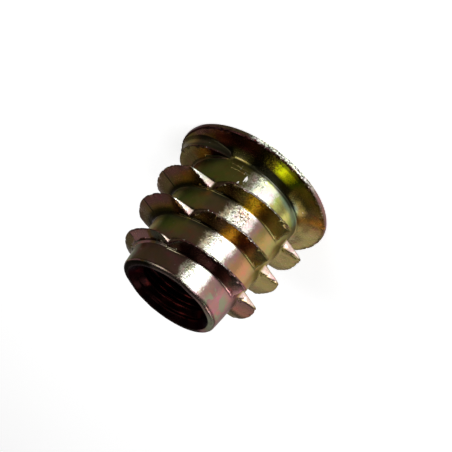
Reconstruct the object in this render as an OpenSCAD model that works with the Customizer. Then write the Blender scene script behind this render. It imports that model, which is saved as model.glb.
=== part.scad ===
// Flanged screw-in insert nut, die-cast in one piece.
// It stands on its flange with the tip up, and Z is its axis.
// The die parts along the XZ plane: front is -Y, back is +Y, east is +X and west is -X.
// The outer thread is coarse and single. Four notches cut each turn into a tilted front ridge,
// a level west tab, a tilted back ridge and a level east tab.

/* [Body] */
// Length from the flange's face to the tip
body_length = 15; // [14:0.5:20]
// Diameter of the body where the flange's flare ends
neck_d = 11.9; // [11.4:0.1:12.6]
// Diameter of the body at the tip
tip_d = 10.4; // [10:0.1:11]
// How late the body narrows towards the tip, where 1 is a straight cone
barrel_power = 1.5; // [1:0.1:2.5]
// Radius of the tip's rounded outer edge
tip_round = 0.4; // [0.2:0.05:0.6]

/* [Flange] */
// Diameter of the flange
flange_d = 17.1; // [16.6:0.1:20]
// Thickness of the flange at its outer edge
rim_h = 0.6; // [0.4:0.05:0.9]
// Radius of the two rounded corners of that edge
rim_round = 0.15; // [0.05:0.01:0.18]
// Height of the concave flare, from the outer edge to the neck
flare_h = 0.95; // [0.7:0.05:1.4]

/* [Outer thread] */
// Number of full turns
turns = 3; // [2:1:3]
// Diameter over the last turn, next to the flange
thread_d = 16.2; // [15.4:0.1:16.8]
// Diameter over the first full front ridge, next to the tip
lead_d = 14.7; // [14:0.1:15.4]
// Diameter of the low back ridge where the thread begins
run_in_d = 11.8; // [11.4:0.1:12.4]
// Rise from one turn to the next
pitch = 3.57; // [3.3:0.01:3.7]
// Height of the crest of the front ridge next to the flange
first_crest = 4.88; // [4.7:0.02:5.2]
// Width of the flat along a crest
crest_w = 0.2; // [0.1:0.02:0.4]
// Angle of each flank from a plane across the axis
flank_angle = 12; // [8:0.5:15]
// Tilt of the front and back ridges
ridge_tilt = 5.2; // [0:0.2:7]
// Rise of the east tabs above the front ridges, as a share of the pitch
east_rise = 0.118; // [0.08:0.002:0.16]
// Drop of the west tabs below the front ridges, as a share of the pitch
west_drop = 0.305; // [0.26:0.005:0.35]
// Drop of the back ridges below the front ridges, as a share of the pitch
back_drop = 0.594; // [0.55:0.002:0.64]
// How much further the east tabs stand out than the rest of their turn
east_extra = 0.15; // [0:0.05:0.3]

/* [Notches] */
// How far east the front and back ridges reach at the foot of the notch
ridge_east = 3.85; // [3.5:0.05:4.2]
// How far west they reach
ridge_west = 4.22; // [3.9:0.02:4.6]
// Lean of the ridges' east end walls, inwards from the direction in which the die opens
east_end_lean = 12; // [0:1:20]
// How far the east tabs reach to the front and the back at the foot of the notch
east_tab_reach = 4.4; // [4:0.05:4.6]
// How far the west tabs reach
west_tab_reach = 2.9; // [2.6:0.05:3.3]
// Lean of the west tabs' end walls, inwards
west_tab_lean = 6; // [0:1:12]

/* [Run-out] */
// Drop of the run-out's crest below the front ridge next to the flange, as a share of the pitch
run_out_drop = 0.882; // [0.84:0.002:0.92]
// Radius of the round outline, off the axis, in which the thread runs out
run_out_r = 5.17; // [4.8:0.01:5.4]
// How far east of the axis that outline has its centre
run_out_east = 2.65; // [2.4:0.05:2.9]
// How far back of the axis it has its centre
run_out_back = 0.6; // [0:0.05:0.8]
// Radius of the fillet between the run-out's wall and the flange
run_out_fillet = 0.8; // [0.5:0.05:0.9]

/* [Bore] */
// Diameter of the bore over the crests of its M8 thread
bore_d = 6.75; // [6.6:0.05:6.95]
// Diameter of the bevelled mouth at the tip
mouth_d = 8.9; // [8.3:0.1:9.3]
// Width of the hexagonal drive socket across its flats
hex_af = 8; // [7:0.1:8.4]
// Depth of the drive socket
hex_depth = 5; // [3.5:0.25:6]
// Width of the socket's bevelled edge
hex_bevel = 0.35; // [0.2:0.05:0.6]

/* [Hidden] */
$fn = 96;
BRONZE = [0.56, 0.52, 0.36];

neck_r = neck_d / 2;
tip_r = tip_d / 2;
flange_r = flange_d / 2;
bore_r = bore_d / 2;
mouth_r = mouth_d / 2;
hex_corner_r = hex_af / 2 / cos(30);
neck_z = rim_h + flare_h;
mouth_depth = mouth_r - bore_r;

// The flare is an arc that leaves the rim level, so its sweep follows from its width and height.
flare_w = flange_r - rim_round - neck_r;
flare_radius = (flare_w * flare_w + flare_h * flare_h) / (2 * flare_h);
flare_sweep = 2 * atan(flare_h / flare_w);
FLARE_STEPS = 10;
BARREL_STEPS = 8;
ROUND_STEPS = 4;

// Each ridge and tab starts this far inside the body's surface, so that they join.
THREAD_SINK = 0.5;
PAST = 1;
prism_reach = flange_r + PAST;
prism_h = body_length + PAST;

// Quarter turns from the start of the thread to the last tab, used to grow the crests.
RUN_IN_QUARTERS = 2;
last_quarter = 4 * turns - 1;

// Radius of the body's surface at height z.
function body_r(z) =
    neck_r - (neck_r - tip_r) * pow(max(0, z - neck_z) / (body_length - neck_z), barrel_power);

// Radius of the crest after a number of quarter turns from the start of the thread.
function grown_r(quarter) =
    quarter < RUN_IN_QUARTERS
    ? run_in_d / 2 + (lead_d - run_in_d) / 2 * quarter / RUN_IN_QUARTERS
    : lead_d / 2 + (thread_d - lead_d) / 2 * min(1, (quarter - RUN_IN_QUARTERS)
        / (last_quarter - RUN_IN_QUARTERS));

// Height of the crest of a front ridge, counted from the tip.
function front_z(turn) = first_crest + (turns - 1 - turn) * pitch;

// A quarter circle about a centre, from an angle through a signed right angle.
function corner(x, y, r, start, turn = 90) = [for (i = [0 : ROUND_STEPS])
    let (a = start + turn * i / ROUND_STEPS)
    [x + r * cos(a), y + r * sin(a)]];

rim_corner_r = flange_r - rim_round;
rim_points = concat(
    corner(rim_corner_r, rim_round, rim_round, -90),
    corner(rim_corner_r, rim_h - rim_round, rim_round, 0));

flare_points = [for (i = [1 : FLARE_STEPS])
    let (a = flare_sweep * i / FLARE_STEPS)
    [rim_corner_r - flare_radius * sin(a), rim_h + flare_radius * (1 - cos(a))]];

barrel_points = [for (i = [1 : BARREL_STEPS - 1])
    let (z = neck_z + (body_length - tip_round - neck_z) * i / BARREL_STEPS)
    [body_r(z), z]];

tip_corner_z = body_length - tip_round;
tip_points = corner(body_r(tip_corner_z) - tip_round, tip_corner_z, tip_round, 0);

// The turned outside of the piece without its thread.
module blank() {
    rotate_extrude()
        polygon(concat([[0, 0]], rim_points, flare_points, barrel_points, tip_points, [[0, body_length]]));
}

// A level ring whose section is one ridge of the thread.
module ridge_ring(crest_r, crest_z) {
    foot_r = body_r(crest_z) - THREAD_SINK;
    foot_half = crest_w / 2 + (crest_r - foot_r) * tan(flank_angle);
    translate([0, 0, crest_z])
        rotate_extrude()
            polygon([[foot_r, -foot_half], [crest_r, -crest_w / 2], [crest_r, crest_w / 2], [foot_r, foot_half]]);
}

// Where a front ridge may stand, seen along the axis.
module front_sector() {
    lean_shift = prism_reach * tan(east_end_lean);
    linear_extrude(prism_h)
        polygon([
            [0, 0],
            [ridge_east, -east_tab_reach],
            [ridge_east - lean_shift, -east_tab_reach - prism_reach],
            [-ridge_west, -east_tab_reach - prism_reach],
            [-ridge_west, -west_tab_reach]
        ]);
}

// Where an east tab may stand.
module east_sector() {
    linear_extrude(prism_h)
        polygon([
            [0, 0],
            [ridge_east, -east_tab_reach],
            [prism_reach, -east_tab_reach],
            [prism_reach, east_tab_reach],
            [ridge_east, east_tab_reach]
        ]);
}

// Where a west tab may stand.
module west_sector() {
    end_y = west_tab_reach - (prism_reach - ridge_west) * tan(west_tab_lean);
    linear_extrude(prism_h)
        polygon([
            [0, 0],
            [-ridge_west, -west_tab_reach],
            [-prism_reach, -end_y],
            [-prism_reach, end_y],
            [-ridge_west, west_tab_reach]
        ]);
}

module front_ridge(turn) {
    crest_z = front_z(turn);
    intersection() {
        translate([0, 0, crest_z])
            rotate([0, -ridge_tilt, 0])
                translate([0, 0, -crest_z])
                    ridge_ring(grown_r(4 * turn + 2), crest_z);
        front_sector();
    }
}

module back_ridge(turn) {
    crest_z = front_z(turn) - back_drop * pitch;
    intersection() {
        translate([0, 0, crest_z])
            rotate([0, ridge_tilt, 0])
                translate([0, 0, -crest_z])
                    ridge_ring(grown_r(4 * turn + 4), crest_z);
        mirror([0, 1, 0])
            front_sector();
    }
}

module east_tab(turn) {
    intersection() {
        ridge_ring(grown_r(4 * turn + 1) + east_extra, front_z(turn) + east_rise * pitch);
        east_sector();
    }
}

module west_tab(turn) {
    intersection() {
        ridge_ring(grown_r(4 * turn + 3), front_z(turn) - west_drop * pitch);
        west_sector();
    }
}

// The thread's last east tab fills the space down to the flange and runs out towards the front.
module run_out() {
    edge_z = front_z(turns - 1) - run_out_drop * pitch + crest_w / 2;
    flank_w = thread_d / 2 - neck_r;
    fillet = corner(run_out_r + run_out_fillet, rim_h + run_out_fillet, run_out_fillet, 180);
    intersection() {
        translate([run_out_east, run_out_back, 0])
            rotate_extrude()
                polygon(concat(
                    [[0, rim_h / 2], [0, edge_z + flank_w * tan(flank_angle)]],
                    [[run_out_r - flank_w, edge_z + flank_w * tan(flank_angle)], [run_out_r, edge_z]],
                    fillet,
                    [[run_out_r + run_out_fillet, rim_h / 2]]));
        translate([0, -prism_reach, 0])
            cube([prism_reach, prism_reach + east_tab_reach, prism_h]);
        cylinder(r = rim_corner_r, h = prism_h);
    }
}

// The drive socket, the bore and its bevelled mouth.
module passage() {
    translate([0, 0, -PAST])
        cylinder(r = hex_corner_r, h = hex_depth + PAST, $fn = 6);
    translate([0, 0, -PAST])
        cylinder(r1 = hex_corner_r + PAST, r2 = hex_corner_r - hex_bevel, h = PAST + hex_bevel);
    cylinder(r = bore_r, h = body_length + PAST);
    translate([0, 0, body_length - mouth_depth])
        cylinder(r1 = bore_r, r2 = mouth_r + PAST, h = mouth_depth + PAST);
}

module insert() {
    color(BRONZE)
        difference() {
            union() {
                blank();
                for (turn = [0 : turns - 1]) {
                    front_ridge(turn);
                    east_tab(turn);
                    west_tab(turn);
                    back_ridge(turn);
                }
                back_ridge(-1);
                run_out();
            }
            passage();
        }
}

insert();
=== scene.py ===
"""Flanged screw-in insert nut in yellow-chromated die-cast zinc, standing on its flange.

The shell and the bore are grids of points: a column for each azimuth and a row for each station
along the section. Sizes are in millimetres until a mesh is made, and azimuth 0 is the front, -Y,
with +X, the east, at 90 degrees.
"""
import itertools
import math

import bpy
import numpy as np
from mathutils import Matrix, Vector


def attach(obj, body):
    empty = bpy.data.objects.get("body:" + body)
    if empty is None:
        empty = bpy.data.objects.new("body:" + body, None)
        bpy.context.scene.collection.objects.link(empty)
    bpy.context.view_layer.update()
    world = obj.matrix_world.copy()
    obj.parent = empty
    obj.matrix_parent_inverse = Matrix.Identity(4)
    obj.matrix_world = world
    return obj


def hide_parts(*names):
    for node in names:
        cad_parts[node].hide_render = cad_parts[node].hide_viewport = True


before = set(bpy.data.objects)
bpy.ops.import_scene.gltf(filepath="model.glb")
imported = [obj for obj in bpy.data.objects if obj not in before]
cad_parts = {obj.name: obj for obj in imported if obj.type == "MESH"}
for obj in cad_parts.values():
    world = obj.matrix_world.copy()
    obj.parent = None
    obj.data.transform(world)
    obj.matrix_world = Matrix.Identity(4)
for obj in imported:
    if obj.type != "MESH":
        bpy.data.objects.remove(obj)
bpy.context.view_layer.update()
MM = 0.001

# ------------ sizes of the CAD model
BODY_LENGTH = 15.0
NECK_R = 5.95
TIP_R = 5.2
BARREL_POWER = 1.5
TIP_ROUND = 0.4
FLANGE_R = 8.55
RIM_H = 0.6
RIM_ROUND = 0.15
FLARE_H = 0.95
NECK_Z = RIM_H + FLARE_H
TURNS = 3
THREAD_R = 8.1
LEAD_R = 7.35
RUN_IN_R = 5.9
PITCH = 3.57
FIRST_CREST = 4.88
CREST_W = 0.2
FLANK_TAN = math.tan(math.radians(12))
TILT_TAN = math.tan(math.radians(5.2))
EAST_RISE = 0.118
WEST_DROP = 0.305
BACK_DROP = 0.594
EAST_EXTRA = 0.15
RIDGE_EAST = 3.85
RIDGE_WEST = 4.22
EAST_END_TAN = math.tan(math.radians(12))
EAST_TAB_REACH = 4.4
WEST_TAB_REACH = 2.9
WEST_TAB_TAN = math.tan(math.radians(6))
RUN_OUT_R = 5.17
RUN_OUT_EAST = 2.65
RUN_OUT_BACK = 0.6
RUN_OUT_FILLET = 0.8
BORE_R = 3.375
MOUTH_R = 4.45
HEX_AF = 8.0
HEX_DEPTH = 5.0
M8_PITCH = 1.25
M8_ROOT_R = 4.0

FLARE_W = FLANGE_R - RIM_ROUND - NECK_R
FLARE_RADIUS = (FLARE_W ** 2 + FLARE_H ** 2) / (2 * FLARE_H)
RIM_CORNER_R = FLANGE_R - RIM_ROUND
HEX_CORNER_R = HEX_AF / 2 / math.cos(math.radians(30))
LAST_QUARTER = 4 * TURNS - 1
# The thread grows from its start to its first full front ridge in this many quarter turns.
RUN_IN_QUARTERS = 2

# ------------ seeded value noise
LATTICE = 32
LATTICE_VALUES = np.random.default_rng(20).random((LATTICE, LATTICE, LATTICE))
# Far enough from the part that every coordinate in the lattice is positive.
NOISE_ORIGIN = 400.0


def value_noise(x, y, z, scale, shift=0.0):
    """Smooth noise from 0 to 1, with about `scale` lumps to the millimetre."""
    corners = []
    blends = []
    for axis, coordinate in enumerate((x, y, z)):
        at = coordinate * scale + shift * (axis + 1) + NOISE_ORIGIN
        cell = np.floor(at)
        part = at - cell
        corners.append(cell.astype(int))
        blends.append(part * part * (3 - 2 * part))
    total = np.zeros_like(x, dtype=float)
    for steps in itertools.product((0, 1), repeat=3):
        weight = np.ones_like(total)
        for step, blend in zip(steps, blends):
            weight = weight * (blend if step else 1 - blend)
        cells = tuple((corner + step) % LATTICE for corner, step in zip(corners, steps))
        total += weight * LATTICE_VALUES[cells]
    return total


def smooth_min(a, b, k):
    """The smaller of two values, rounded off over a difference of k."""
    mix = np.clip(0.5 + 0.5 * (b - a) / k, 0, 1)
    return b + (a - b) * mix - k * mix * (1 - mix)


def smooth_max(a, b, k):
    return -smooth_min(-a, -b, k)


def smooth_step(low, high, value):
    """0 below low and 1 above high, with a smooth rise between them."""
    t = np.clip((value - low) / (high - low), 0, 1)
    return t * t * (3 - 2 * t)


# ------------ columns
CORNER_EAST = math.degrees(math.atan2(RIDGE_EAST, EAST_TAB_REACH))
CORNER_WEST = math.degrees(math.atan2(RIDGE_WEST, WEST_TAB_REACH))
START = CORNER_WEST - 180
COLUMNS = 540
FINE_STEPS = 7201
HEX_CORNERS = (-90, -30, 30, 90, 150, 210)
# Where the columns crowd, at the parting line and the end walls: azimuth, width and gain.
CROWDS = (
    (90, 0.9, 7.0),
    (CORNER_EAST - 10, 14, 0.7),
    (CORNER_EAST + 8, 10, 0.7),
    (180 - CORNER_EAST, 14, 0.4),
    (-CORNER_WEST, 14, 0.7),
    (CORNER_WEST - 180, 10, 0.3),
)


def column_azimuths():
    """Azimuths in degrees round the part, with one at each corner of the hexagon."""
    fine = np.linspace(START, START + 360, FINE_STEPS)
    density = np.ones_like(fine)
    for centre, width, gain in CROWDS:
        density += gain * np.exp(-((fine - centre) / width) ** 2)
    reach = np.concatenate([[0], np.cumsum((density[1:] + density[:-1]) / 2)])
    wanted = np.linspace(0, reach[-1], COLUMNS, endpoint=False)
    azimuths = np.interp(wanted, reach, fine)
    for corner in HEX_CORNERS:
        azimuths[np.argmin(abs(azimuths - corner))] = corner
    return azimuths


AZIMUTH = column_azimuths()
SIN = np.sin(np.radians(AZIMUTH))
COS = np.cos(np.radians(AZIMUTH))


def degrees_from(centre):
    """How far each column lies from an azimuth, from -180 to 180."""
    return np.mod(AZIMUTH - centre + 180, 360) - 180


# ------------ section of the body
# The flare's arc is followed no further than this share of its radius, where it is near upright.
STEEPEST_SHARE = 0.99


def body_r(z):
    above = np.maximum(0, z - NECK_Z) / (BODY_LENGTH - NECK_Z)
    return NECK_R - (NECK_R - TIP_R) * above ** BARREL_POWER


def flare_z(r):
    inwards = np.clip(RIM_CORNER_R - r, 0, FLARE_RADIUS * STEEPEST_SHARE)
    return RIM_H + FLARE_RADIUS - np.sqrt(FLARE_RADIUS ** 2 - inwards ** 2)


def grown_r(quarter):
    """Radius of the crest after a number of quarter turns from the start of the thread."""
    if quarter < RUN_IN_QUARTERS:
        return RUN_IN_R + (LEAD_R - RUN_IN_R) * quarter / RUN_IN_QUARTERS
    share = min(1, (quarter - RUN_IN_QUARTERS) / (LAST_QUARTER - RUN_IN_QUARTERS))
    return LEAD_R + (THREAD_R - LEAD_R) * share


# ------------ notches, seen along the axis
# A wall that no column meets stands this far out, and a slope never gets smaller than LEAST_SLOPE.
FAR = 50.0
LEAST_SLOPE = 1e-3


def front_wall(sine, cosine):
    """Distance from the axis to the end walls of a front ridge, by azimuth."""
    far = np.full_like(sine, FAR)
    west = np.where(sine < -LEAST_SLOPE, RIDGE_WEST / np.maximum(-sine, LEAST_SLOPE), far)
    slope = sine + EAST_END_TAN * cosine
    reach = RIDGE_EAST + EAST_TAB_REACH * EAST_END_TAN
    east = np.where(slope > LEAST_SLOPE, reach / np.maximum(slope, LEAST_SLOPE), far)
    return np.minimum(west, east)


def east_wall():
    return EAST_TAB_REACH / np.maximum(abs(COS), LEAST_SLOPE)


def west_wall():
    reach = WEST_TAB_REACH + RIDGE_WEST * WEST_TAB_TAN
    return reach / np.maximum(abs(COS) + WEST_TAB_TAN * abs(SIN), LEAST_SLOPE)


def run_out_wall():
    """Distance from the axis to the round outline in which the thread runs out."""
    along = RUN_OUT_EAST * SIN - RUN_OUT_BACK * COS
    square = RUN_OUT_R ** 2 - RUN_OUT_EAST ** 2 - RUN_OUT_BACK ** 2
    return along + np.sqrt(along ** 2 + square)


FRONT_WALL = front_wall(SIN, COS)
BACK_WALL = front_wall(SIN, -COS)
EAST_WALL = east_wall()
WEST_WALL = west_wall()
RUN_OUT_WALL = run_out_wall()

IN_WEST = AZIMUTH < -CORNER_WEST
IN_FRONT = (AZIMUTH >= -CORNER_WEST) & (AZIMUTH < CORNER_EAST)
IN_EAST = (AZIMUTH >= CORNER_EAST) & (AZIMUTH < 180 - CORNER_EAST)
IN_BACK = AZIMUTH >= 180 - CORNER_EAST

# How softly a ridge leaves the body, which is sharper within some degrees of the columns' start.
SOFT_FOOT = 0.2
SHARP_FOOT = 0.05
SHARP_ZONE = 8
FOOT_ROUND = np.full(COLUMNS, SOFT_FOOT)
FOOT_ROUND[abs(degrees_from(START)) < SHARP_ZONE] = SHARP_FOOT
# How softly a crest falls to its end wall. The front ridges rise gently in the east and end
# sharply in the west.
END_ROUND = np.full(COLUMNS, 0.35)
END_ROUND[IN_FRONT & (AZIMUTH > 0)] = 0.8
END_ROUND[IN_FRONT & (AZIMUTH < 0)] = 0.10

# ------------ ridges
LEVELS = 4
# A ridge that isn't there has its crest inside the body, and its rows lie on the body near the
# flange, this far to each side of their line.
VANISHED = 3.0
IDLE_HALF = 0.22
IDLE_FRONT_Z = 2.4
IDLE_WEST_Z = 2.2
# Radius at which the height of a tilted ridge's line is told.
REF_R = 5.9
# The notches' corners, and how many degrees to each side of them the lines are bridged.
CORNERS = ((-CORNER_WEST, 5.5), (CORNER_WEST - 180, 5.5), (CORNER_EAST, 1.5), (180 - CORNER_EAST, 1.5))
CREST_SETBACK = 0.07
CREST_SPREAD = 0.10
FOOT_SETBACK = 0.28
# The largest share of a side that a rounded corner may take.
SIDE_SHARE = 0.45
NO_LENGTH = 1e-6
FOOT_ROUNDS = 8
THINNEST_HALF = 0.04
# The tabs thin out from the parting plane to their ends, so that the die opens.
TAB_DRAFT = 0.035
TAB_MIDDLE = 2.2
# How softly the run-out's outline meets the tab's end, and how it leaves the neck.
RUN_OUT_SOFTNESS = 0.4
RUN_OUT_START = 0.12
RUN_OUT_EDGE = 0.10
CLEARANCE = 0.02


def ridge_levels():
    """Crest radius, end wall, crest height and tilt of the ridges by column, for each level."""
    levels = []
    for level in range(LEVELS):
        turn = TURNS - level
        crest = np.full(COLUMNS, VANISHED)
        wall = np.full(COLUMNS, VANISHED)
        height = np.zeros(COLUMNS)
        tilt = np.zeros(COLUMNS)
        front = FIRST_CREST + (level - 1) * PITCH
        if level > 0:
            crest[IN_FRONT] = grown_r(4 * turn + 2)
            wall[IN_FRONT] = FRONT_WALL[IN_FRONT]
            height[IN_FRONT] = front
            tilt[IN_FRONT] = TILT_TAN
            crest[IN_WEST] = grown_r(4 * turn + 3)
            wall[IN_WEST] = WEST_WALL[IN_WEST]
            height[IN_WEST] = front - WEST_DROP * PITCH
        else:
            height[IN_FRONT] = IDLE_FRONT_Z
            height[IN_WEST] = IDLE_WEST_Z
        crest[IN_EAST] = grown_r(4 * turn + 1) + EAST_EXTRA
        wall[IN_EAST] = EAST_WALL[IN_EAST]
        height[IN_EAST] = front + EAST_RISE * PITCH
        crest[IN_BACK] = grown_r(4 * turn)
        wall[IN_BACK] = BACK_WALL[IN_BACK]
        height[IN_BACK] = front + PITCH - BACK_DROP * PITCH
        tilt[IN_BACK] = -TILT_TAN
        levels.append((crest, wall, height, tilt))
    return levels


def bridge(values, centre, half):
    """Leads the values smoothly over the corner at `centre`, where no ridge stands up."""
    away = degrees_from(centre)
    order = np.argsort(away)
    low = np.interp(-half, away[order], values[order])
    high = np.interp(half, away[order], values[order])
    inside = abs(away) < half
    t = smooth_step(-half, half, away[inside])
    values[inside] = low + (high - low) * t


def rounded(before, corner, after, setback, count):
    """Points along a corner, rounded off from `setback` before it to `setback` after it."""
    rows = []
    back_r, back_z = before[0] - corner[0], before[1] - corner[1]
    on_r, on_z = after[0] - corner[0], after[1] - corner[1]
    back = np.maximum(np.hypot(back_r, back_z), NO_LENGTH)
    on = np.maximum(np.hypot(on_r, on_z), NO_LENGTH)
    cut_back = np.minimum(setback, SIDE_SHARE * back) / back
    cut_on = np.minimum(setback, SIDE_SHARE * on) / on
    start = (corner[0] + back_r * cut_back, corner[1] + back_z * cut_back)
    end = (corner[0] + on_r * cut_on, corner[1] + on_z * cut_on)
    for step in range(count):
        t = step / (count - 1)
        a, b, c = (1 - t) ** 2, 2 * t * (1 - t), t * t
        r = a * start[0] + b * corner[0] + c * end[0]
        z = a * start[1] + b * corner[1] + c * end[1]
        rows.append((r, z))
    return rows


def between(first, last, count):
    """Points strictly between two stations."""
    shares = [(step + 1) / (count + 1) for step in range(count)]
    return [(first[0] + (last[0] - first[0]) * t, first[1] + (last[1] - first[1]) * t) for t in shares]


def tab_draft(r):
    """How much thicker a tab is at each side at radius r than it is on average."""
    return np.where(IN_EAST | IN_WEST, TAB_DRAFT * (TAB_MIDDLE - abs(r * COS)), 0)


def flank_foot(crest, line, slope, side):
    """Where a flank meets the body: side is -1 towards the flange and 1 towards the tip."""
    r = np.full(COLUMNS, REF_R)
    for _ in range(FOOT_ROUNDS):
        half = np.maximum(CREST_W / 2 + (crest - r) * FLANK_TAN + tab_draft(r), IDLE_HALF)
        z = line + slope * (r - REF_R) + side * half
        r = body_r(z)
    return r, z


def ridge_stations(level, data):
    """The corners of one ridge's section in every column, from the flange side to the tip side."""
    crest, wall, height, tilt = data
    slope = SIN * tilt
    line = height + REF_R * slope
    for centre, half in CORNERS:
        bridge(line, centre, half)
        bridge(slope, centre, half)
    end = smooth_min(crest, wall, END_ROUND)
    low_foot = flank_foot(crest, line, slope, -1)
    high_foot = flank_foot(crest, line, slope, 1)
    body = body_r(line)
    if level == 0:
        ending = smooth_min(RUN_OUT_WALL, EAST_WALL, RUN_OUT_SOFTNESS)
        end = np.where(IN_EAST, ending, end)
        out = IN_EAST & (ending > NECK_R)
        share = smooth_step(NECK_R, NECK_R + RUN_OUT_START, np.where(IN_EAST, ending, 0))
        foot_r = np.maximum(ending, NECK_R)
        foot_z = np.maximum(flare_z(foot_r + CLEARANCE), RIM_H + RUN_OUT_FILLET)
        low_foot = (
            np.where(out, low_foot[0] + (foot_r - low_foot[0]) * share, low_foot[0]),
            np.where(out, low_foot[1] + (foot_z - low_foot[1]) * share, low_foot[1]),
        )
        edge = height + CREST_W / 2
        reach = np.maximum(ending - NECK_R, 0)
        rise = edge + reach * FLANK_TAN
        high_foot = (
            np.where(out, body_r(rise), high_foot[0]),
            np.where(out, np.maximum(rise, edge + CLEARANCE), high_foot[1]),
        )
    top = smooth_max(end, body, FOOT_ROUND)
    half = CREST_W / 2 + (crest - top) * FLANK_TAN + tab_draft(top)
    half = np.where(crest <= VANISHED, IDLE_HALF, np.maximum(half, THINNEST_HALF))
    middle = line + slope * (top - REF_R)
    low_top = [smooth_max(end, body_r(middle - half), FOOT_ROUND), middle - half]
    high_top = [smooth_max(end, body_r(middle + half), FOOT_ROUND), middle + half]
    proud = np.maximum(top - body, 0)
    short = np.maximum(crest - top, 0)
    if level == 0:
        low_top[1] = np.where(out, edge - RUN_OUT_EDGE, low_top[1])
        high_top[1] = np.where(out, edge, high_top[1])
        low_top[0] = np.where(out, np.maximum(top, low_foot[0]), low_top[0])
        short = np.where(IN_EAST, np.maximum(RUN_OUT_WALL - top, 0), short)
    return low_foot, tuple(low_top), tuple(high_top), high_foot, proud, short


# ------------ shell
FACE_ROWS = 8
FACE_SETBACK = 0.2
RIM_ROWS = 5
RIM_TOP_ROWS = 6
FLARE_ROWS = 15
GAP_ROWS = 5
CORNER_ROWS = 4
LOW_FLANK_ROWS = 3
HIGH_FLANK_ROWS = 4
TIP_ROWS = 8
# The run-out's foot starts where it stands this far out of the neck, and its fillet is blended in.
OUT_OF_NECK = 0.005
FOOT_GAP = 0.05
FILLET_BLEND = 0.06
ABOVE_FOOT = 0.4
WALL_SETBACK = 0.07
MOUTH_EDGE = 0.05
MOUTH_ROUND = 0.015
# Where a column counts as an end wall, a crest or a foot: how far the ridge stops short of its
# full crest, or stands proud of the body, at the start and at the end of the transition.
WALL_SHORT = (0.1, 0.45)
WALL_PROUD = (0.03, 0.2)
CREST_PROUD = (0.3, 0.8)
FOOT_PROUD = (0.1, 0.5)
CREST_SHARE = 0.9
# Shares of end wall, crest edge and end wall's lip for the four rows of a crest's two corners.
LOW_CORNER = ((0, 0.2), (0, 0.7), (0.4, 1), (1, 1))
HIGH_CORNER = ((1, 1, 0), (0.3, 1, 1), (0, 0.8, 1), (0, 0.2, 0.3))


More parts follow.
